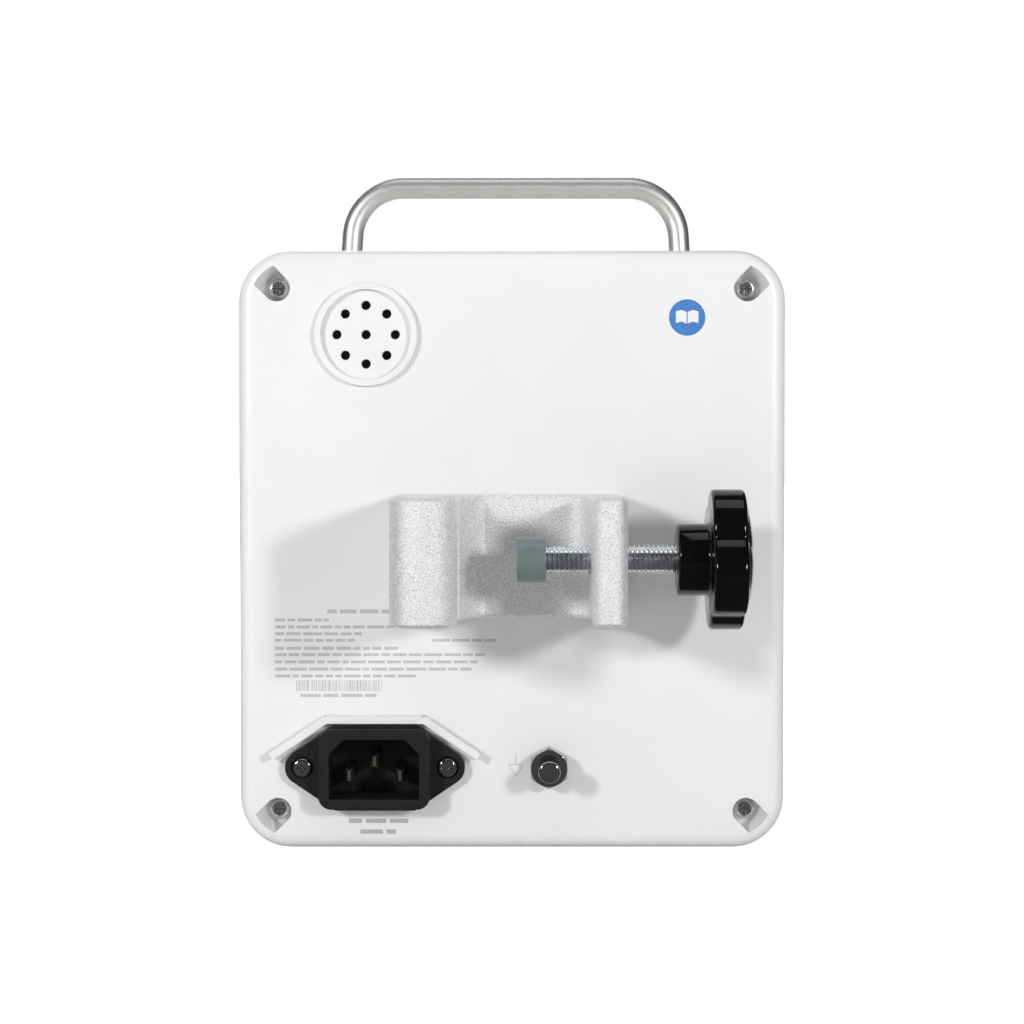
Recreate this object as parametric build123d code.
from build123d import *
import math
import os

# An infusion pump that clamps to a drip stand. Millimetres, +Z up, front towards -Y.
# The origin is at the middle of the footprint, on the surface that the rubber feet stand on.

# Casing
BODY_W = 151.0
BODY_H = 165.5
CORNER_R = 14.0
WALL = 3.0
FEET_H = 2.0
REAR_Y = 41.0
FRONT_Y = -89.0
SPLIT_Y = -40.0
BASE_Z = FEET_H
TOP_Z = BASE_Z + BODY_H
MID_Z = BASE_Z + BODY_H / 2
INNER_Y = REAR_Y - WALL

# Case screws in the rear corners
SCREW_X = 64.8
SCREW_Z = 72.3
POCKET_R = 3.7
POCKET_DEEP = 7.0
POCKET_INSET = 3.5
POCKET_SLOPE = 15.0
POST_R = 4.5
SCREW_HEAD_R = 2.75
SCREW_HEAD_T = 2.2
SCREW_SHANK_R = 1.95
SCREW_SHANK_L = 14.0
CROSS_REACH = 1.6
CROSS_HALF = 0.35
FOOT_X = 50.0
FEET_Y = (-62.0, 17.0)
FOOT_R = 6.0

# Carrying handle
BAR_R = 3.15
HANDLE_X = -1.1
HANDLE_Y = -24.0
HANDLE_FOOT_X = 49.85
HANDLE_TOP_Z = BASE_Z + 189.45
HANDLE_LEAN = 3.5
HANDLE_BEND_R = 15.3
HANDLE_SUNK = 7.0

# Loudspeaker grille
GRILLE_X = 40.2
GRILLE_Z = TOP_Z - 23.3
GRILLE_RING_R = 14.15
GRILLE_RING_W = 1.75
GRILLE_RING_H = 1.5
GRILLE_HOLE_R = 1.3
GRILLE_PITCH_R = 8.05

# Power inlet and earth stud
INLET_X = 37.8
INLET_Z = BASE_Z + 22.9
INLET_EAR_X = 20.0
INLET_FLANGE_T = 2.5
INLET_COLLAR_T = 6.75
INLET_COLLAR = (30.6, 22.0)
INLET_BODY = (27.4, 19.8)
INLET_BODY_DEEP = 16.0
INLET_EAR_R = 4.8
INLET_SEAT = 1.6
INLET_HEAD_R = 2.65
INLET_HEAD_T = 1.6
INLET_SHANK_R = 1.5
MOUTH_X = 12.4
MOUTH_Z = 8.2
MOUTH_CUT = 4.0
MOUTH_DEEP = 10.5
RIB_TOP = 14.3
RIB_T = 2.1
RIB_H = 3.6
PIN_X = 7.0
STUD_X = -10.2
STUD_R = 3.0
STUD_NECK_R = 2.6
STUD_FLANGE_R = 5.5
STUD_TAIL = 8.0
STUD_OUT = 12.5
NUT_AF = 10.0
NUT_T = 5.0

# Pole clamp
CLAMP_Z = BASE_Z + 81.6
CLAMP_H = 33.5
CLAMP_BEVEL = 0.9
CLAMP_AXIS = 28.0
CLAMP_WEB = 10.0
CLAMP_FRONT = 46.0
JAW_FRONT = 48.0
POST_OUT_X = -30.0
POST_IN_X = -20.8
JAW_IN_X = 14.2
JAW_OUT_X = 31.9
SEAT_R = 10.0
SEAT_X = 9.0
SWEEP_R = 14.0
THREAD_R = 4.0
THREAD_HOLE_R = 4.06
SCREW_TIP_X = -4.5
PAD_R = 6.0
PAD_TIP_X = -1.2
PAD_BACK_X = -8.9
HUB_R = 9.5
HUB_X = -43.4
KNOB_X = -52.0
KNOB_END_X = -63.5
KNOB_R = 19.2
LOBE_R = 11.5
KNOB_TURN = 22.0
KNOB_DOME = 56.0
KNOB_LOBES = 4
KNOB_CORE_R = 10.5
KNOB_HOLLOW_R = 1.6
CLAMP_BOLTS_X = (-25.4, 23.0)
CLAMP_BOLTS_Z = 10.0

# Door and the recess behind it
RECESS_Y = -74.0
RECESS_X = -16.0
HINGE_X = -70.5
HINGE_Y = -79.0
BARREL_R = 4.6
DOOR_EDGE_X = RECESS_X - 0.7
DOOR_BACK_Y = RECESS_Y - 0.6
DOOR_WALL = 2.4
DOOR_ROUND = 6.0
PIN_R = 1.5
KNUCKLES_Z = (32.0, 137.5)
KNUCKLE_H = 9.0
LATCH_X = -22.0
LATCH_HALF = 1.4
HOOKS_Z = (62.0, 100.0)

# Tube channel and pump mechanism
TUBE_X = -45.0
GROOVE_W = 6.0
GROOVE_Y = -68.8
CAM_Y = -45.0
CAM_R = 6.0
CAM_OFFSET = 1.5
CAM_T = 4.6
SHAFT_R = 3.0
FINGERS = 8
FINGER_PITCH = 6.0
FINGER_T = 5.0
FINGER_W = 5.8
FINGER_MID_Z = 85.0
FINGER_TIP_Y = -71.5
WINDOW_X = 7.8
WINDOW_Y = 9.3
LOW_PLATE_Z = 53.0
HIGH_PLATE_Z = 113.0
PLATE_T = 4.0
GEAR_Z = HIGH_PLATE_Z + PLATE_T + 1.5
GEAR_T = 6.0
GEAR_MODULE = 0.8
GEAR_TEETH = 50
PINION_TEETH = 20
GEAR_SPAN = GEAR_MODULE * (GEAR_TEETH + PINION_TEETH) / 2
MOTOR_X = TUBE_X + GEAR_SPAN
MOTOR_W = 28.0
MOTOR_L = 31.0
MOTOR_SHAFT_R = 2.55
TOOTH_ROOT = 1.0
TOOTH_TIP = 0.7
ROOT_HALF = 0.36
TIP_HALF = 0.12
SPOKE_R = 11.5
SPOKE_HOLE_R = 3.5
SENSOR_Z = 22.0
SENSOR_R = 3.5
STOP_Z = 36.0
STOP_R = 3.3
PLATEN_W = 13.0
PLATEN_Z = 27.5
PLATEN_FACE_Y = RECESS_Y - 0.3
PLATEN_SPRINGS_Z = (68.0, 102.0)

# Control panel
PANEL_Y = FRONT_Y + 1.2
PANEL_X = (-12.5, 71.0)
PANEL_Z = (9.0, 161.0)
PANEL_WALL = 2.5
PANEL_MID_X = 29.5
WINDOW_MID = (PANEL_MID_X, 122.0)
WINDOW_SIZE = (72.0, 50.0)
LAMP_MID = (PANEL_MID_X, 155.0)
LAMP_SIZE = (40.0, 4.0)
KEY_TOP_Y = FRONT_Y + 0.1
KEY_GAP = 0.35
BOARD_Y = -79.6
BOARD_T = 1.6
MAT_Y = -82.4
MAT_T = 1.2
DOME_R = 3.0
KEYS = {
    "mute_key": (0.5, 82.0, 15.0, 11.0),
    "purge_key": (19.8, 82.0, 15.0, 11.0),
    "stop_key": (39.2, 82.0, 15.0, 11.0),
    "start_key": (58.5, 82.0, 15.0, 11.0),
    "up_key": (44.0, 58.0, 12.0, 10.0),
    "down_key": (44.0, 28.0, 12.0, 10.0),
    "left_key": (28.5, 43.0, 12.0, 10.0),
    "right_key": (59.5, 43.0, 12.0, 10.0),
    "power_key": (2.0, 43.0, 14.0, 14.0),
}


def block(x0, x1, y0, y1, z0, z1):
    """A box between two corners."""
    middle = Pos((x0 + x1) / 2, (y0 + y1) / 2, (z0 + z1) / 2)
    return middle * Box(abs(x1 - x0), abs(y1 - y0), abs(z1 - z0))


def rod_x(y, z, x0, x1, r):
    return Pos((x0 + x1) / 2, y, z) * Rot(0, 90, 0) * Cylinder(r, abs(x1 - x0))


def rod_y(x, z, y0, y1, r):
    return Pos(x, (y0 + y1) / 2, z) * Rot(90, 0, 0) * Cylinder(r, abs(y1 - y0))


def rod_z(x, y, z0, z1, r):
    return Pos(x, y, (z0 + z1) / 2) * Cylinder(r, abs(z1 - z0))


def xz_plane(y):
    """A plane facing the rear, with X to its left and Z up its side."""
    return Plane(origin=(0, y, 0), x_dir=(-1, 0, 0), z_dir=(0, 1, 0))


def slab(y0, y1, x, z, w, h, r):
    """A rounded rectangle seen from the rear, solid between two depths."""
    face = xz_plane(y0) * Pos(-x, z) * RectangleRounded(w, h, r)
    return extrude(face, y1 - y0)


def outline(y0, y1, inset=0.0):
    """The casing's outline between two depths."""
    return slab(y0, y1, 0, MID_Z, BODY_W - 2 * inset, BODY_H - 2 * inset, CORNER_R - inset)


def edges_at(shape, axis, place):
    return shape.edges().filter_by_position(axis, place - 0.01, place + 0.01)


def corners():
    """The four case screws' places, with the sign of each corner."""
    return [(sx * SCREW_X, MID_Z + sz * SCREW_Z, sx, sz) for sx in (-1, 1) for sz in (-1, 1)]


def tapered_outline(y0, y1):
    """The pockets' outer limit: it narrows from the rear face down to the pockets' floor."""
    inset = POCKET_INSET + POCKET_DEEP * math.tan(math.radians(POCKET_SLOPE))
    size = RectangleRounded(BODY_W - 2 * inset, BODY_H - 2 * inset, CORNER_R - inset)
    return extrude(xz_plane(y0) * Pos(0, MID_Z) * size, y1 - y0, taper=-POCKET_SLOPE)


def pocket(x, z, sx, sz, y0, y1, grow=0.0):
    """A screw pocket: a round end, and a slot that runs out towards the casing's corner."""
    r = POCKET_R + grow
    reach = 12.0
    turn = math.degrees(math.atan2(sz, sx))
    mid_x = x + reach / 2 * math.cos(math.radians(turn))
    mid_z = z + reach / 2 * math.sin(math.radians(turn))
    slot = Pos(mid_x, (y0 + y1) / 2, mid_z) * Rot(0, -turn, 0) * Box(reach, y1 - y0, 2 * r)
    limit = outline(y0, y1, WALL - grow) if grow else tapered_outline(y0, y1)
    return (rod_y(x, z, y0, y1, r) + slot) & limit


def handle_leg(sign, z0, z1, r):
    """A rod on the leaning axis of one handle leg, between two heights along it."""
    lean = Pos(HANDLE_X + sign * HANDLE_FOOT_X, HANDLE_Y, TOP_Z) * Rot(0, -sign * HANDLE_LEAN, 0)
    return lean * Pos(0, 0, (z0 + z1) / 2) * Cylinder(r, z1 - z0)


def grille_places():
    """The grille's holes: one in the middle and a ring of eight."""
    ring = [math.radians(45 * k) for k in range(8)]
    spots = [(GRILLE_PITCH_R * math.cos(a), GRILLE_PITCH_R * math.sin(a)) for a in ring]
    return [(GRILLE_X + dx, GRILLE_Z + dz) for dx, dz in [(0.0, 0.0)] + spots]


def feet_places():
    return [(sign * FOOT_X, y) for sign in (-1, 1) for y in FEET_Y]


def drip_rib():
    """The raised eyebrow that sheds drips over the power inlet."""
    top = INLET_Z + RIB_TOP
    bar = block(INLET_X - 13.4, INLET_X + 13.4, REAR_Y - 1, REAR_Y + RIB_H, top - RIB_T, top)
    legs = []
    for sign in (-1, 1):
        place = Pos(INLET_X + sign * 20.9, REAR_Y + (RIB_H - 1) / 2, top - 6.0)
        legs.append(place * Rot(0, sign * 34.0, 0) * Box(18.6, RIB_H + 1, RIB_T))
    return bar + legs[0] + legs[1]


def ring_of_wall(y0, y1, outer, inner):
    return outline(y0, y1, outer) - outline(y0, y1, inner)


def rear_case():
    """The rear shell, with the bosses and holes for everything that it carries."""
    shell = fillet(edges_at(outline(SPLIT_Y, REAR_Y), Axis.Y, REAR_Y), 4.0)
    shell -= outline(SPLIT_Y - 1, INNER_Y, WALL)
    floor_y = REAR_Y - POCKET_DEEP
    for x, z, sx, sz in corners():
        shell += pocket(x, z, sx, sz, floor_y - WALL, INNER_Y + 1, 2.0)
    for x, z, sx, sz in corners():
        shell -= pocket(x, z, sx, sz, floor_y, REAR_Y + 1)
        shell -= rod_y(x, z, floor_y - WALL - 1, floor_y + 1, 2.2)
    ring = rod_y(GRILLE_X, GRILLE_Z, REAR_Y - 1, REAR_Y + GRILLE_RING_H, GRILLE_RING_R)
    ring -= rod_y(GRILLE_X, GRILLE_Z, REAR_Y, REAR_Y + 3, GRILLE_RING_R - GRILLE_RING_W)
    shell += ring + drip_rib()
    for x, z in grille_places():
        shell -= rod_y(x, z, INNER_Y - 1, REAR_Y + 1, GRILLE_HOLE_R)
    for sign in (-1, 1):
        foot = HANDLE_X + sign * HANDLE_FOOT_X
        shell += block(foot - 6, foot + 6, HANDLE_Y - 6, HANDLE_Y + 6, TOP_Z - 11, TOP_Z - 2)
        shell -= handle_leg(sign, -HANDLE_SUNK, 3, BAR_R + 0.1)
        shell -= handle_leg(sign, -14, -HANDLE_SUNK + 1, 2.1)
    for x, y in feet_places():
        if y > SPLIT_Y:
            shell += block(x - 8, x + 8, y - 8, y + 8, BASE_Z + 2, BASE_Z + 4)
            shell -= rod_z(x, y, BASE_Z - 1, BASE_Z + 1, FOOT_R + 0.1)
    inlet_w, inlet_h = INLET_BODY
    shell -= slab(INNER_Y - 1, REAR_Y + 1, INLET_X, INLET_Z, inlet_w + 0.5, inlet_h + 0.5, 3.0)
    for sign in (-1, 1):
        x = INLET_X + sign * INLET_EAR_X
        shell -= rod_y(x, INLET_Z, INNER_Y - 1, REAR_Y + 1, INLET_SHANK_R + 0.1)
    shell -= rod_y(STUD_X, INLET_Z, INNER_Y - 1, REAR_Y + 1, STUD_NECK_R + 0.05)
    for x in CLAMP_BOLTS_X:
        for sign in (-1, 1):
            z = CLAMP_Z + sign * CLAMP_BOLTS_Z
            shell -= rod_y(x, z, INNER_Y - 1, REAR_Y + 1, 2.7)
    return shell - case_seal()


def case_seal():
    """A square cord of rubber in a groove shared by both shells."""
    return ring_of_wall(SPLIT_Y - 0.8, SPLIT_Y + 0.8, 0.9, 2.1)


def cross_recess(x, z, floor, reach, half):
    """The cross that a screwdriver fits, cut into a screw's head from a floor outwards."""
    level = block(x - reach, x + reach, floor, floor + 2, z - half, z + half)
    return level + block(x - half, x + half, floor, floor + 2, z - reach, z + reach)


def case_screws():
    """Four pan-head screws in the rear pockets."""
    floor_y = REAR_Y - POCKET_DEEP
    top = floor_y + SCREW_HEAD_T
    screws = []
    for x, z, _, _ in corners():
        head = fillet(edges_at(rod_y(x, z, floor_y, top, SCREW_HEAD_R), Axis.Y, top), 1.0)
        shank = rod_y(x, z, floor_y - SCREW_SHANK_L, floor_y + 0.5, SCREW_SHANK_R)
        screws.append(head + shank - cross_recess(x, z, floor_y + 1, CROSS_REACH, CROSS_HALF))
    return Compound(screws)


def carry_handle():
    """One bent bar, with a blind bore up each leg for its screw."""
    lean = math.tan(math.radians(HANDLE_LEAN))
    low = TOP_Z - HANDLE_SUNK * math.cos(math.radians(HANDLE_LEAN))
    foot_x = HANDLE_FOOT_X + (TOP_Z - low) * lean
    top_x = HANDLE_FOOT_X - (HANDLE_TOP_Z - TOP_Z) * lean
    points = [
        (HANDLE_X - foot_x, HANDLE_Y, low),
        (HANDLE_X - top_x, HANDLE_Y, HANDLE_TOP_Z),
        (HANDLE_X + top_x, HANDLE_Y, HANDLE_TOP_Z),
        (HANDLE_X + foot_x, HANDLE_Y, low),
    ]
    path = FilletPolyline(*points, radius=HANDLE_BEND_R)
    section = Plane(origin=path @ 0, z_dir=path % 0) * Circle(BAR_R)
    bar = sweep(section, path)
    for sign in (-1, 1):
        bar -= handle_leg(sign, -HANDLE_SUNK - 1, 4, 1.65)
    return bar


def handle_screws():
    """Two screws that hold the handle from inside the casing."""
    screws = []
    for sign in (-1, 1):
        screws.append(handle_leg(sign, -14.2, 3, 1.6) + handle_leg(sign, -14.2, -11.6, 3.4))
    return Compound(screws)


def rubber_feet():
    feet = []
    for x, y in feet_places():
        feet.append(fillet(edges_at(rod_z(x, y, 0, BASE_Z + 1, FOOT_R), Axis.Z, 0.0), 0.5))
    return Compound(feet)


def speaker():
    """A small loudspeaker behind the grille: basket, cone and magnet in one piece."""
    body = rod_y(GRILLE_X, GRILLE_Z, INNER_Y - 3, INNER_Y, 17.0)
    body -= rod_y(GRILLE_X, GRILLE_Z, INNER_Y - 2, INNER_Y + 1, 14.5)
    body += rod_y(GRILLE_X, GRILLE_Z, INNER_Y - 8, INNER_Y - 3, 12.0)
    return body + rod_y(GRILLE_X, GRILLE_Z, INNER_Y - 13, INNER_Y - 8, 9.0)


def clamp_profile():
    """The clamp's section, seen from above: web, post and hooked jaw on one base."""
    front = REAR_Y + CLAMP_FRONT
    web = REAR_Y + CLAMP_WEB
    axis = REAR_Y + CLAMP_AXIS
    post_mid = (POST_OUT_X + POST_IN_X) / 2
    post_r = (POST_IN_X - POST_OUT_X) / 2
    jaw_mid = (JAW_IN_X + JAW_OUT_X) / 2
    jaw_r = (JAW_OUT_X - JAW_IN_X) / 2
    jaw_front = REAR_Y + JAW_FRONT
    low = math.radians(60)
    high = math.radians(50)
    seat_low = (SEAT_X + SEAT_R * math.cos(low), axis - SEAT_R * math.sin(low))
    seat_high = (SEAT_X + SEAT_R * math.cos(high), axis + SEAT_R * math.sin(high))
    sweep_y = web + 11.9
    web_end = (7.4, web)
    bulge = math.radians(-35)
    sweep_mid = (SWEEP_R * math.cos(bulge), sweep_y + SWEEP_R * math.sin(bulge))
    root_r = 6.0
    root_x = POST_IN_X + root_r
    root_mid = (root_x - root_r * math.sin(math.pi / 4), web + root_r * (1 - math.cos(math.pi / 4)))
    lines = [
        Line((POST_OUT_X, REAR_Y), (POST_OUT_X, front - post_r)),
        ThreePointArc((POST_OUT_X, front - post_r), (post_mid, front), (POST_IN_X, front - post_r)),
        Line((POST_IN_X, front - post_r), (POST_IN_X, web + root_r)),
        ThreePointArc((POST_IN_X, web + root_r), root_mid, (root_x, web)),
        Line((root_x, web), web_end),
        ThreePointArc(web_end, sweep_mid, seat_low),
        ThreePointArc(seat_low, (SEAT_X + SEAT_R, axis), seat_high),
        Line(seat_high, (JAW_IN_X, jaw_front - jaw_r)),
        ThreePointArc((JAW_IN_X, jaw_front - jaw_r), (jaw_mid, jaw_front), (JAW_OUT_X, jaw_front - jaw_r)),
        Line((JAW_OUT_X, jaw_front - jaw_r), (JAW_OUT_X, REAR_Y)),
        Line((JAW_OUT_X, REAR_Y), (POST_OUT_X, REAR_Y)),
    ]
    return make_face(Wire(lines))


def clamp_body():
    """An aluminium extrusion, bevelled at both ends except round the seat, and drilled."""
    low = CLAMP_Z - CLAMP_H / 2
    body = extrude(Pos(0, 0, low) * clamp_profile(), CLAMP_H)
    for z in (low + CLAMP_H, low):
        bevelled = []
        for edge in edges_at(body, Axis.Z, z):
            middle = edge.center()
            reach = math.hypot(middle.X - SEAT_X, middle.Y - REAR_Y - CLAMP_AXIS)
            if middle.Y > REAR_Y + 1 and reach > SEAT_R + 2:
                bevelled.append(edge)
        body = chamfer(bevelled, CLAMP_BEVEL)
    body -= rod_x(REAR_Y + CLAMP_AXIS, CLAMP_Z, POST_OUT_X - 1, POST_IN_X + 1, THREAD_HOLE_R)
    for x in CLAMP_BOLTS_X:
        for sign in (-1, 1):
            body -= rod_y(x, CLAMP_Z + sign * CLAMP_BOLTS_Z, REAR_Y - 1, REAR_Y + 11, 2.1)
    return body


def clamp_backing_plate():
    """A steel plate inside the rear wall that spreads the clamp's load."""
    plate = slab(INNER_Y - 2, INNER_Y, 0.5, CLAMP_Z, 66.0, 40.0, 4.0)
    for x in CLAMP_BOLTS_X:
        for sign in (-1, 1):
            plate -= rod_y(x, CLAMP_Z + sign * CLAMP_BOLTS_Z, INNER_Y - 3, INNER_Y + 1, 2.2)
    return plate


def clamp_bolts():
    bolts = []
    for x in CLAMP_BOLTS_X:
        for sign in (-1, 1):
            z = CLAMP_Z + sign * CLAMP_BOLTS_Z
            head = rod_y(x, z, INNER_Y - 5, INNER_Y - 2, 3.6)
            bolts.append(head + rod_y(x, z, INNER_Y - 2.5, REAR_Y + 10, 2.05))
    return Compound(bolts)


def clamp_screw():
    """The clamp's threaded rod, as the plain cylinder over its crests."""
    axis = REAR_Y + CLAMP_AXIS
    rod = rod_x(axis, CLAMP_Z, HUB_X - 6, SCREW_TIP_X, THREAD_R)
    return chamfer(edges_at(rod, Axis.X, SCREW_TIP_X), 0.6)


def clamp_pad():
    """The soft pad that the screw pushes against the pole."""
    axis = REAR_Y + CLAMP_AXIS
    pad = rod_x(axis, CLAMP_Z, PAD_BACK_X, PAD_TIP_X, PAD_R)
    pad = fillet(edges_at(pad, Axis.X, PAD_TIP_X) + edges_at(pad, Axis.X, PAD_BACK_X), 0.4)
    return pad - rod_x(axis, CLAMP_Z, PAD_BACK_X - 1, SCREW_TIP_X + 0.1, THREAD_R + 0.05)


def knob_outline():
    """Four convex lobes, joined by shallow hollows."""
    lobes = []
    for k in range(KNOB_LOBES):
        lobes.append(Rot(0, 0, 360 / KNOB_LOBES * k) * Pos(KNOB_R - LOBE_R, 0) * Circle(LOBE_R))
    face = lobes[0] + lobes[1] + lobes[2] + lobes[3] + Circle(KNOB_CORE_R)
    inner = face.vertices().filter_by(lambda v: math.hypot(v.X, v.Y) < KNOB_R - 3)
    return fillet(inner, KNOB_HOLLOW_R)


def clamp_knob():
    """The four-lobed star knob, with the hub that grips the screw."""
    axis = REAR_Y + CLAMP_AXIS
    face = Plane(origin=(KNOB_X, axis, CLAMP_Z), x_dir=(0, 1, 0), z_dir=(-1, 0, 0))
    star = extrude(face * Rot(0, 0, KNOB_TURN) * knob_outline(), KNOB_X - KNOB_END_X)
    star &= Pos(KNOB_END_X + KNOB_DOME, axis, CLAMP_Z) * Sphere(KNOB_DOME)
    star = star + rod_x(axis, CLAMP_Z, HUB_X, KNOB_X - 1, HUB_R)
    return star - rod_x(axis, CLAMP_Z, HUB_X - 6, HUB_X + 1, THREAD_R)


def inlet_outline(grow=0.0):
    """The inlet's flange: a long hexagon with round ears."""
    ear_r = INLET_EAR_R + grow
    face = RectangleRounded(24.2 + 2 * grow, 23.8 + 2 * grow, 2.0)
    ears = Pos(INLET_EAR_X, 0) * Circle(ear_r) + Pos(-INLET_EAR_X, 0) * Circle(ear_r)
    top = 11.9 + grow
    side = INLET_EAR_X + ear_r * 0.5
    rise = ear_r * 0.866
    hexagon = Polyline(
        (side, rise), (11.0, top), (-11.0, top), (-side, rise),
        (-side, -rise), (-11.0, -top), (11.0, -top), (side, -rise), close=True,
    )
    return face + ears + make_face(hexagon)


def power_inlet():
    """The C14 inlet's moulded body, with its socket open to the rear."""
    place = xz_plane(REAR_Y) * Pos(-INLET_X, INLET_Z)
    body = extrude(place * inlet_outline(), INLET_FLANGE_T)
    body += slab(REAR_Y, REAR_Y + INLET_COLLAR_T, INLET_X, INLET_Z, *INLET_COLLAR, 3.6)
    body += slab(REAR_Y - INLET_BODY_DEEP, REAR_Y + 1, INLET_X, INLET_Z, *INLET_BODY, 2.5)
    shoulder = MOUTH_X - MOUTH_CUT
    cut = MOUTH_Z - MOUTH_CUT
    mouth = make_face(Polyline(
        (-MOUTH_X, -MOUTH_Z), (MOUTH_X, -MOUTH_Z), (MOUTH_X, cut), (shoulder, MOUTH_Z),
        (-shoulder, MOUTH_Z), (-MOUTH_X, cut), close=True,
    ))
    deep = xz_plane(REAR_Y - MOUTH_DEEP) * Pos(-INLET_X, INLET_Z)
    body -= extrude(deep * mouth, 25.0)
    for x, z in inlet_pin_places():
        body -= block(x - 1.05, x + 1.05, REAR_Y - 20, REAR_Y - 10, z - 2.05, z + 2.05)
    for sign in (-1, 1):
        x = INLET_X + sign * INLET_EAR_X
        body -= rod_y(x, INLET_Z, REAR_Y - 1, REAR_Y + 4, INLET_SHANK_R + 0.1)
        body -= rod_y(x, INLET_Z, REAR_Y + INLET_SEAT, REAR_Y + 4, 3.2)
    return body


def inlet_pin_places():
    return [(INLET_X - PIN_X, INLET_Z - 2), (INLET_X + PIN_X, INLET_Z - 2), (INLET_X, INLET_Z + 2)]


def inlet_pins():
    pins = []
    for x, z in inlet_pin_places():
        pin = block(x - 1, x + 1, REAR_Y - 22, REAR_Y + 4.5, z - 2, z + 2)
        pins.append(chamfer(edges_at(pin, Axis.Y, REAR_Y + 4.5), 0.6))
    return Compound(pins)


def inlet_screws():
    seat = REAR_Y + INLET_SEAT
    screws = []
    for sign in (-1, 1):
        x = INLET_X + sign * INLET_EAR_X
        head = rod_y(x, INLET_Z, seat, seat + INLET_HEAD_T, INLET_HEAD_R)
        head = fillet(edges_at(head, Axis.Y, seat + INLET_HEAD_T), 0.8)
        shank = rod_y(x, INLET_Z, REAR_Y - 6, seat + 0.1, INLET_SHANK_R)
        screws.append(head + shank - cross_recess(x, INLET_Z, seat + 0.7, 1.5, 0.3))
    return Compound(screws)


def earth_stud():
    """The equipotential stud: a smooth pin outside, a flange and a tail inside."""
    tip = REAR_Y + STUD_OUT
    stud = rod_y(STUD_X, INLET_Z, REAR_Y + NUT_T + 0.2, tip, STUD_R)
    stud = fillet(edges_at(stud, Axis.Y, tip), 0.6)
    stud += rod_y(STUD_X, INLET_Z, INNER_Y - STUD_TAIL, REAR_Y + NUT_T + 0.5, STUD_NECK_R)
    return stud + rod_y(STUD_X, INLET_Z, INNER_Y - 2.5, INNER_Y, STUD_FLANGE_R)


def earth_nut():
    hexagon = RegularPolygon(NUT_AF / 2, 6, major_radius=False, rotation=30)
    nut = extrude(xz_plane(REAR_Y) * Pos(-STUD_X, INLET_Z) * hexagon, NUT_T)
    cone = Pos(STUD_X, REAR_Y + NUT_T / 2, INLET_Z) * Rot(-90, 0, 0) * Cone(9.0, 5.0, NUT_T)
    return (nut & cone) - rod_y(STUD_X, INLET_Z, REAR_Y - 1, REAR_Y + NUT_T + 1, STUD_NECK_R + 0.02)


def door_section(inset=0.0):
    """The door seen from above: a barrel round the hinge and a flat front."""
    front = FRONT_Y + inset
    r = BARREL_R - inset
    turn = math.radians(215)
    touch = (HINGE_X + r * math.cos(turn), HINGE_Y + r * math.sin(turn))
    run = (touch[1] - front) / math.cos(math.radians(35))
    front_x = touch[0] + run * math.sin(math.radians(35))
    back = DOOR_BACK_Y
    edge = DOOR_EDGE_X - inset
    side = math.radians(155)
    start = (HINGE_X, HINGE_Y + r)
    middle = (HINGE_X + r * math.cos(side), HINGE_Y + r * math.sin(side))
    lines = [
        ThreePointArc(start, middle, touch),
        Line(touch, (front_x, front)),
        Line((front_x, front), (edge, front)),
        Line((edge, front), (edge, back)),
        Line((edge, back), (HINGE_X + 5.0, back)),
        Line((HINGE_X + 5.0, back), start),
    ]
    return make_face(Wire(lines))


def knuckle_gap(z, h):
    """The notch in the door's barrel that one case knuckle fills."""
    return rod_z(HINGE_X, HINGE_Y, z - 0.3, z + h + 0.3, BARREL_R + 1.9)


def door_cover():
    """The door's outer shell."""
    shape = extrude(Pos(0, 0, BASE_Z) * door_section(), BODY_H)
    shape = fillet(shape.edges().filter_by(Axis.Z).group_by(Axis.Y)[0].sort_by(Axis.X)[0], DOOR_ROUND)
    shape &= fillet(edges_at(outline(FRONT_Y, RECESS_Y), Axis.Y, FRONT_Y), 3.0)
    hollow_x = HINGE_X + BARREL_R + 2
    hollow = block(hollow_x, DOOR_EDGE_X - DOOR_WALL, FRONT_Y + DOOR_WALL, 0, BASE_Z, TOP_Z)
    shape -= hollow & outline(FRONT_Y, 0, WALL + 0.5)
    shape -= rod_z(HINGE_X, HINGE_Y, BASE_Z - 1, TOP_Z + 1, PIN_R + 0.05)
    for z in KNUCKLES_Z:
        shape -= knuckle_gap(z, KNUCKLE_H)
    shape -= slab(FRONT_Y - 1, FRONT_Y + 5, LATCH_X, FINGER_MID_Z, 7.0, 26.0, 1.5)
    for z in PLATEN_SPRINGS_Z:
        shape += rod_y(TUBE_X, z, FRONT_Y + 1, FRONT_Y + 4.4, 2.0)
    return shape


def door_liner():
    """The plate that closes the door's back and guides the platen."""
    edge = HINGE_X + BARREL_R + 2.1
    plate = block(edge, DOOR_EDGE_X - DOOR_WALL - 0.1, DOOR_BACK_Y - 2.4, DOOR_BACK_Y, BASE_Z, TOP_Z)
    plate &= outline(FRONT_Y, 0, WALL + 0.6)
    plate -= block(TUBE_X - 6.7, TUBE_X + 6.7, -80, -70, FINGER_MID_Z - 27.7, FINGER_MID_Z + 27.7)
    for z in HOOKS_Z:
        plate -= block(-24.0, -20.0, -80, -70, z - 0.5, z + 12.0)
    return plate


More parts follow.
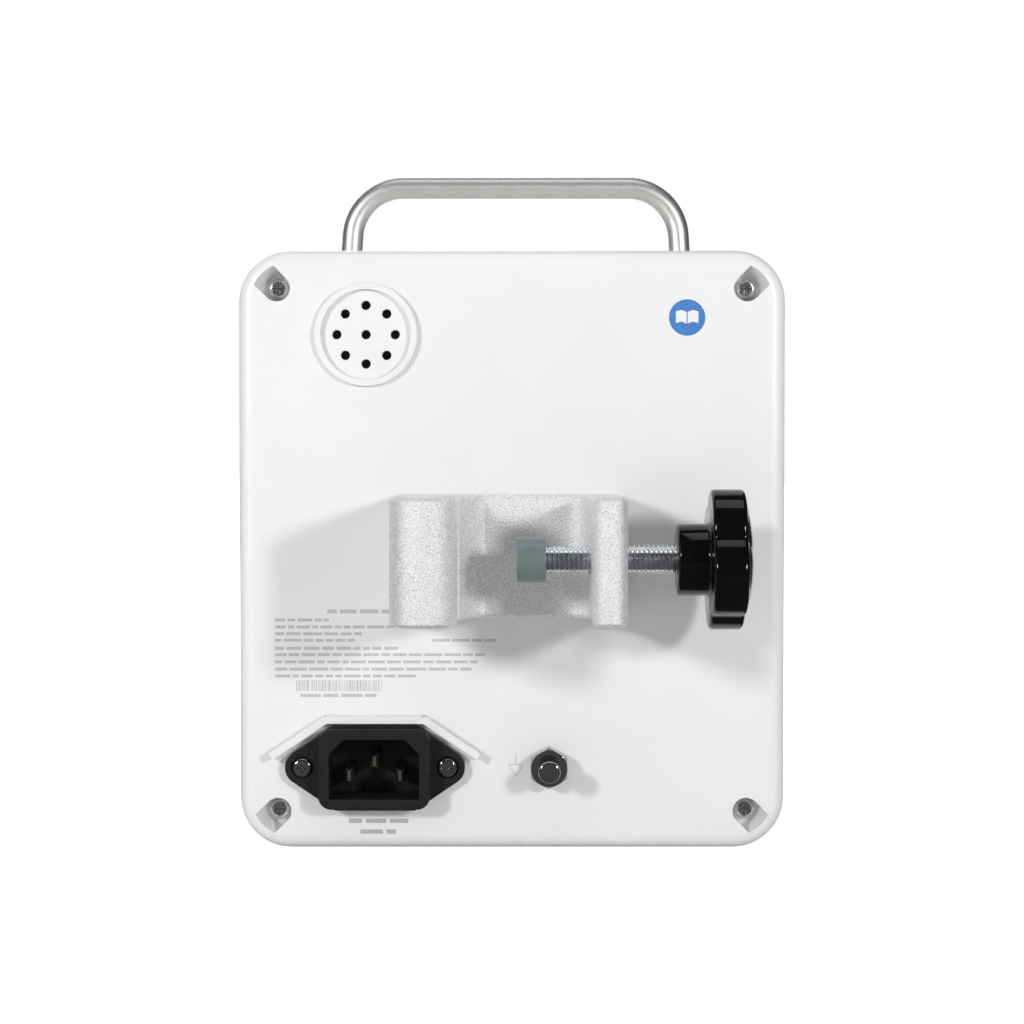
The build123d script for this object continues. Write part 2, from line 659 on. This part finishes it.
def platen():
    """The plate that backs the tube while the fingers squeeze it."""
    low = FINGER_MID_Z - PLATEN_Z
    high = FINGER_MID_Z + PLATEN_Z
    half = PLATEN_W / 2
    plate = block(TUBE_X - half, TUBE_X + half, PLATEN_FACE_Y - 4.0, PLATEN_FACE_Y, low, high)
    plate = fillet(edges_at(plate, Axis.Y, PLATEN_FACE_Y), 0.8)
    flange = block(TUBE_X - half - 1.6, TUBE_X + half + 1.6, -79.6, -77.4, low - 1.6, high + 1.6)
    plate += flange
    for z in PLATEN_SPRINGS_Z:
        plate -= rod_y(TUBE_X, z, -80, -78.4, 3.3)
    return plate


def platen_springs():
    """Two coil springs, each as the sleeve that the coil fills."""
    springs = []
    for z in PLATEN_SPRINGS_Z:
        sleeve = rod_y(TUBE_X, z, FRONT_Y + DOOR_WALL, -78.4, 3.0)
        springs.append(sleeve - rod_y(TUBE_X, z, FRONT_Y + 2, -78, 2.2))
    return Compound(springs)


def door_hinge_pins():
    """One long wire pin through each knuckle of the casing."""
    pins = []
    for z in KNUCKLES_Z:
        pins.append(rod_z(HINGE_X, HINGE_Y, z - 6, z + KNUCKLE_H + 6, PIN_R))
    return Compound(pins)


def door_latch():
    """The sliding bolt: a finger tab in front and two hooks behind."""
    side = LATCH_X - LATCH_HALF
    other = LATCH_X + LATCH_HALF
    bar = block(side, other, FRONT_Y + 5.5, -77.3, 58.0, 112.0)
    tab = slab(FRONT_Y + 0.3, FRONT_Y + 6, LATCH_X, FINGER_MID_Z - 2.5, 5.6, 18.0, 1.2)
    for k in range(5):
        z = FINGER_MID_Z - 8.5 + 3 * k
        tab -= block(LATCH_X - 4, LATCH_X + 4, FRONT_Y, FRONT_Y + 0.8, z - 0.5, z + 0.5)
    latch = bar + tab
    for z in HOOKS_Z:
        latch += block(side, other, -78, -68.2, z, z + 6)
        latch += block(side, other, -70.7, -68.2, z, z + 9.5)
    return latch


def groove():
    """The channel that the tube lies in, open at the casing's top and bottom."""
    half = GROOVE_W / 2
    return block(TUBE_X - half, TUBE_X + half, GROOVE_Y, RECESS_Y - 1, BASE_Z - 1, TOP_Z + 1)


def front_case():
    """The front shell: control panel on one side, door recess on the other."""
    shell = fillet(edges_at(outline(FRONT_Y, SPLIT_Y), Axis.Y, FRONT_Y), 3.0)
    shell -= outline(PANEL_Y + PANEL_WALL, SPLIT_Y + 1, WALL)
    shell -= block(-80, RECESS_X, FRONT_Y - 1, RECESS_Y, 0, TOP_Z + 1)
    shell += block(-74, RECESS_X, RECESS_Y, RECESS_Y + WALL, BASE_Z, TOP_Z) & outline(FRONT_Y, 0)
    step = block(RECESS_X, RECESS_X + 2.5, FRONT_Y + 3, RECESS_Y + WALL, BASE_Z + 2, TOP_Z - 2)
    shell += step
    panel_w = PANEL_X[1] - PANEL_X[0]
    panel_h = PANEL_Z[1] - PANEL_Z[0]
    mid = ((PANEL_X[0] + PANEL_X[1]) / 2, (PANEL_Z[0] + PANEL_Z[1]) / 2)
    shell -= slab(FRONT_Y - 1, PANEL_Y, *mid, panel_w, panel_h, 8.0)
    shell -= slab(FRONT_Y - 1, PANEL_Y + 5, *WINDOW_MID, WINDOW_SIZE[0] - 4, WINDOW_SIZE[1] - 4, 2.0)
    shell -= slab(FRONT_Y - 1, PANEL_Y + 1.2, *WINDOW_MID, *WINDOW_SIZE, 3.0)
    shell -= slab(FRONT_Y - 1, PANEL_Y + 5, *LAMP_MID, *LAMP_SIZE, 1.9)
    for x, z, w, h in KEYS.values():
        shell -= slab(FRONT_Y - 1, PANEL_Y + 5, x, z, w + 2 * KEY_GAP, h + 2 * KEY_GAP, 2.5)
    for x, z, sx, sz in corners():
        near = RECESS_Y + 1 if sx < 0 else PANEL_Y + 1
        shell += rod_y(x, z, near, REAR_Y - POCKET_DEEP - WALL, POST_R)
        shell -= rod_y(x, z, REAR_Y - POCKET_DEEP - 20, REAR_Y, 2.0)
    for x, y in feet_places():
        if y < SPLIT_Y:
            shell += block(x - 8, x + 8, y - 8, y + 8, BASE_Z + 2, BASE_Z + 4)
            shell -= rod_z(x, y, BASE_Z - 1, BASE_Z + 1, FOOT_R + 0.1)
    half = GROOVE_W / 2 + 2
    floor = block(TUBE_X - half, TUBE_X + half, RECESS_Y, GROOVE_Y + 2, BASE_Z + 1, TOP_Z - 1)
    shell += floor
    shell -= groove()
    shell -= block(-58.4, -31.6, RECESS_Y - 1, -60, 49.5, 113.2)
    shell -= block(TUBE_X - 8, TUBE_X + 8, RECESS_Y - 1, GROOVE_Y + 3, 124.5, 138.5)
    shell -= rod_y(TUBE_X, STOP_Z, RECESS_Y, -60, STOP_R + 0.3)
    shell -= rod_y(TUBE_X, SENSOR_Z, RECESS_Y, -60, SENSOR_R + 0.1)
    for z in HOOKS_Z:
        shell -= block(-24.4, -18.4, RECESS_Y - 1, RECESS_Y + 4, z - 0.5, z + 11.5)
    for z in KNUCKLES_Z:
        knuckle = rod_z(HINGE_X, HINGE_Y, z, z + KNUCKLE_H, BARREL_R)
        knuckle += block(HINGE_X - 3.5, HINGE_X + 3.5, HINGE_Y, RECESS_Y + 1, z, z + KNUCKLE_H)
        shell += knuckle & outline(FRONT_Y, 0)
        shell -= rod_z(HINGE_X, HINGE_Y, z - 1, z + KNUCKLE_H + 1, PIN_R)
    return shell - case_seal()


def display_window():
    return slab(PANEL_Y, PANEL_Y + 1.2, *WINDOW_MID, WINDOW_SIZE[0] - 0.3, WINDOW_SIZE[1] - 0.3, 2.9)


def lcd_module():
    """The display: a glass cell in a frame, on the display board's face."""
    return slab(BOARD_Y - 5.6, BOARD_Y - 0.6, *WINDOW_MID, 78.0, 56.0, 1.0)


def status_lamp():
    """The alarm light's lens, a bar with a flange behind the panel."""
    w, h = LAMP_SIZE
    back = PANEL_Y + PANEL_WALL
    lens = slab(PANEL_Y - 0.5, back + 0.5, *LAMP_MID, w - 0.4, h - 0.4, 1.7)
    return lens + slab(back, back + 1.2, *LAMP_MID, w + 2.0, h + 1.6, 1.0)


def key_cap(name):
    """A key: a crowned cap with a flange that keeps it behind the panel."""
    x, z, w, h = KEYS[name]
    cap = slab(KEY_TOP_Y, PANEL_Y + PANEL_WALL + 0.5, x, z, w, h, 2.2)
    cap = fillet(edges_at(cap, Axis.Y, KEY_TOP_Y), 0.5)
    back = PANEL_Y + PANEL_WALL
    return cap + slab(back, back + 1.2, x, z, w + 2.0, h + 2.0, 2.5)


def keypad_mat():
    """The silicone mat, with a dome behind each key."""
    mat = slab(MAT_Y, MAT_Y + MAT_T, PANEL_MID_X, 55.0, 80.0, 76.0, 3.0)
    for x, z, _, _ in KEYS.values():
        mat += rod_y(x, z, MAT_Y - 0.7, MAT_Y + 0.2, DOME_R)
    return mat


def display_board():
    """The board behind the display and the keys."""
    back = BOARD_Y + BOARD_T
    board = slab(BOARD_Y, back, PANEL_MID_X, 85.0, 82.0, 133.0, 1.0)
    for x, z in ((10.0, 40.0), (50.0, 60.0), (30.0, 110.0)):
        board += block(x - 6, x + 6, back - 0.5, back + 2, z - 6, z + 6)
    return board


def main_board():
    """The control board, upright across the middle of the casing."""
    board = block(-18, 68, -28, -26.4, 52, 146)
    chips = ((10, 120, 16, 16, 2), (40, 115, 12, 18, 3), (50, 75, 20, 10, 6), (5, 70, 10, 10, 2))
    for x, z, w, h, t in chips:
        board += block(x - w / 2, x + w / 2, -26.6, -26.4 + t, z - h / 2, z + h / 2)
    for z in (62.0, 90.0, 135.0):
        board += block(56, 66, -32.0, -27.8, z - 8, z + 8)
    return board


def power_board():
    """The mains supply: a flat board with its transformer, capacitors and heat sink."""
    board = block(2, 60, -36, 20, 9, 10.6)
    board += block(10, 34, -22, 0, 10.5, 30)
    board += rod_z(50, -24, 10.5, 32, 7.0)
    board += rod_z(52, -6, 10.5, 26, 5.0)
    board += block(50, 54, 4, 18, 10.5, 34)
    return board


def battery_pack():
    """Four cells side by side in pairs, in one wrapped pack."""
    pack = block(-60.0, -4.5, -28, 10, 7, 44)
    return fillet(pack.edges().filter_by(Axis.X), 9.0)


def battery_bracket():
    """A folded steel strap over the battery."""
    strap = block(-40, -20, -30.2, 12.2, 5, 46.2) - block(-41, -19, -28.2, 10.2, 4, 44.2)
    strap += block(-40, -20, -38, -28.2, 5, 7)
    return strap + block(-40, -20, 10.2, 20, 5, 7)


def finger_z(k):
    return FINGER_MID_Z + (k - (FINGERS - 1) / 2) * FINGER_PITCH


def finger_phase(k):
    return math.radians(360 / FINGERS * k)


def pump_chassis():
    """The mechanism's frame: guide block, side walls, bearing plates and motor plate."""
    half = WINDOW_X + 2.5
    guide = block(TUBE_X - half - 2.5, TUBE_X + half + 2.5, RECESS_Y, -66, 50, HIGH_PLATE_Z)
    flange = block(-64, -26, RECESS_Y + WALL, -68, 47, 117)
    for z in (45, HIGH_PLATE_Z):
        flange -= block(TUBE_X - 7, TUBE_X + 7, -80, -60, z, z + 5)
    frame = guide + flange - groove()
    for side in (-1, 1):
        x = TUBE_X + side * (half + 1.25)
        frame += block(x - 1.25, x + 1.25, -66.5, -30, LOW_PLATE_Z, HIGH_PLATE_Z + PLATE_T)
    for z in (LOW_PLATE_Z, HIGH_PLATE_Z):
        frame += block(TUBE_X - half - 2.5, TUBE_X + half + 2.5, -66.5, -30, z, z + PLATE_T)
        frame -= rod_z(TUBE_X, CAM_Y, z - 1, z + PLATE_T + 1, 6.0)
    frame += block(-33, 0, -68, -30, HIGH_PLATE_Z, HIGH_PLATE_Z + PLATE_T)
    frame -= rod_z(MOTOR_X, CAM_Y, HIGH_PLATE_Z - 1, HIGH_PLATE_Z + PLATE_T + 1, 5.0)
    for k in range(FINGERS):
        z = finger_z(k)
        tip = FINGER_W / 2 + 0.1
        thick = FINGER_T / 2 + 0.1
        frame -= block(TUBE_X - tip, TUBE_X + tip, RECESS_Y - 1, -60, z - thick, z + thick)
    return frame


def camshaft():
    """The shaft with one eccentric for each finger, an eighth of a turn apart."""
    shaft = rod_z(TUBE_X, CAM_Y, 50, GEAR_Z + GEAR_T + 2, SHAFT_R)
    for k in range(FINGERS):
        x = TUBE_X + CAM_OFFSET * math.sin(finger_phase(k))
        y = CAM_Y - CAM_OFFSET * math.cos(finger_phase(k))
        shaft += rod_z(x, y, finger_z(k) - CAM_T / 2, finger_z(k) + CAM_T / 2, CAM_R)
    return shaft


def finger(k):
    """A pumping finger: a tip that squeezes the tube and a window round its cam."""
    z = finger_z(k)
    shift = -CAM_OFFSET * math.cos(finger_phase(k))
    frame = block(-WINDOW_X - 2.3, WINDOW_X + 2.3, -WINDOW_Y - 2.3, WINDOW_Y + 2.3, -2.5, 2.5)
    frame = fillet(frame.edges().filter_by(Axis.Z), 3.0)
    frame -= block(-WINDOW_X, WINDOW_X, -WINDOW_Y, WINDOW_Y, -3, 3)
    tip = block(-FINGER_W / 2, FINGER_W / 2, FINGER_TIP_Y - CAM_Y, -WINDOW_Y - 1, -2.5, 2.5)
    tip = fillet(edges_at(tip, Axis.Y, FINGER_TIP_Y - CAM_Y), 1.2)
    return Pos(TUBE_X, CAM_Y + shift, z) * (frame + tip)


def cam_bearings():
    bearings = []
    for z in (LOW_PLATE_Z, HIGH_PLATE_Z):
        race = rod_z(TUBE_X, CAM_Y, z, z + PLATE_T, 6.0)
        bearings.append(race - rod_z(TUBE_X, CAM_Y, z - 1, z + PLATE_T + 1, SHAFT_R + 0.03))
    return Compound(bearings)


def gear_face(teeth, turn):
    """A spur gear's outline, with straight-sided teeth."""
    r = GEAR_MODULE * teeth / 2
    step = 2 * math.pi / teeth
    points = []
    for k in range(teeth):
        mid = k * step + math.radians(turn)
        for side in (-1, 1):
            flank = [(r - TOOTH_ROOT, side * ROOT_HALF), (r + TOOTH_TIP, side * TIP_HALF)]
            for radius, half in flank[::-side]:
                a = mid + half * step
                points.append((radius * math.cos(a), radius * math.sin(a)))
    return make_face(Polyline(*points, close=True))


def cam_gear():
    """The large gear on the camshaft, with a tooth gap towards the motor."""
    face = gear_face(GEAR_TEETH, 180 / GEAR_TEETH)
    gear = extrude(Pos(TUBE_X, CAM_Y, GEAR_Z) * face, GEAR_T)
    for k in range(5):
        a = math.radians(72 * k + 36)
        x = TUBE_X + SPOKE_R * math.cos(a)
        y = CAM_Y + SPOKE_R * math.sin(a)
        gear -= rod_z(x, y, 100, 140, SPOKE_HOLE_R)
    return gear - rod_z(TUBE_X, CAM_Y, 100, 140, SHAFT_R)


def motor_pinion():
    """The pinion and the motor's shaft, with a tooth towards the camshaft."""
    face = gear_face(PINION_TEETH, 0)
    gear = extrude(Pos(MOTOR_X, CAM_Y, GEAR_Z) * face, GEAR_T)
    return gear + rod_z(MOTOR_X, CAM_Y, HIGH_PLATE_Z + 0.3, GEAR_Z + GEAR_T + 1, MOTOR_SHAFT_R)


def stepper_motor():
    """A square stepper motor that hangs under the motor plate."""
    half = MOTOR_W / 2
    top = HIGH_PLATE_Z
    body = block(MOTOR_X - half, MOTOR_X + half, CAM_Y - half, CAM_Y + half, top - MOTOR_L, top)
    return chamfer(body.edges().filter_by(Axis.Z), 2.5)


def pressure_sensor():
    """A force button in the channel's floor, above the outlet."""
    button = rod_y(TUBE_X, SENSOR_Z, GROOVE_Y, -58, SENSOR_R)
    return button + rod_y(TUBE_X, SENSOR_Z, GROOVE_Y + 2.2, -56, 6.0)


def bubble_sensor():
    """The ultrasonic air detector: a body with a cheek on each side of the tube."""
    body = block(TUBE_X - 7.8, TUBE_X + 7.8, RECESS_Y, GROOVE_Y + 2.8, 124.7, 138.3)
    return body - block(TUBE_X - 2.6, TUBE_X + 2.6, RECESS_Y - 1, GROOVE_Y, 120, 140)


def tube_clamp():
    """The free-flow stop: a wedge that slides out of the floor and pinches the tube."""
    stem = rod_y(TUBE_X, STOP_Z, GROOVE_Y, -56, STOP_R)
    nose = stem & block(TUBE_X - 4, TUBE_X + 4, GROOVE_Y, -56, STOP_Z - 2, STOP_Z + 2)
    return nose + rod_y(TUBE_X, STOP_Z, -62, -56, STOP_R)


def write(name, shape):
    export_step(shape, os.path.join("parts", name + ".step"))


def main():
    os.makedirs("parts", exist_ok=True)
    pieces = [
        rear_case, front_case, case_seal, case_screws, carry_handle, handle_screws, rubber_feet,
        speaker, clamp_body, clamp_backing_plate, clamp_bolts, clamp_screw, clamp_knob, clamp_pad,
        power_inlet, inlet_pins, inlet_screws, earth_stud, earth_nut, door_cover, door_liner,
        platen, platen_springs, door_hinge_pins, door_latch, display_window, lcd_module,
        status_lamp, keypad_mat, display_board, main_board, power_board, battery_pack,
        battery_bracket, pump_chassis, camshaft, cam_bearings, cam_gear, motor_pinion,
        stepper_motor, pressure_sensor, bubble_sensor, tube_clamp,
    ]
    for make in pieces:
        write(make.__name__, make())
    for name in KEYS:
        write(name, key_cap(name))
    for k in range(FINGERS):
        write(f"finger_{k + 1}", finger(k))


main()
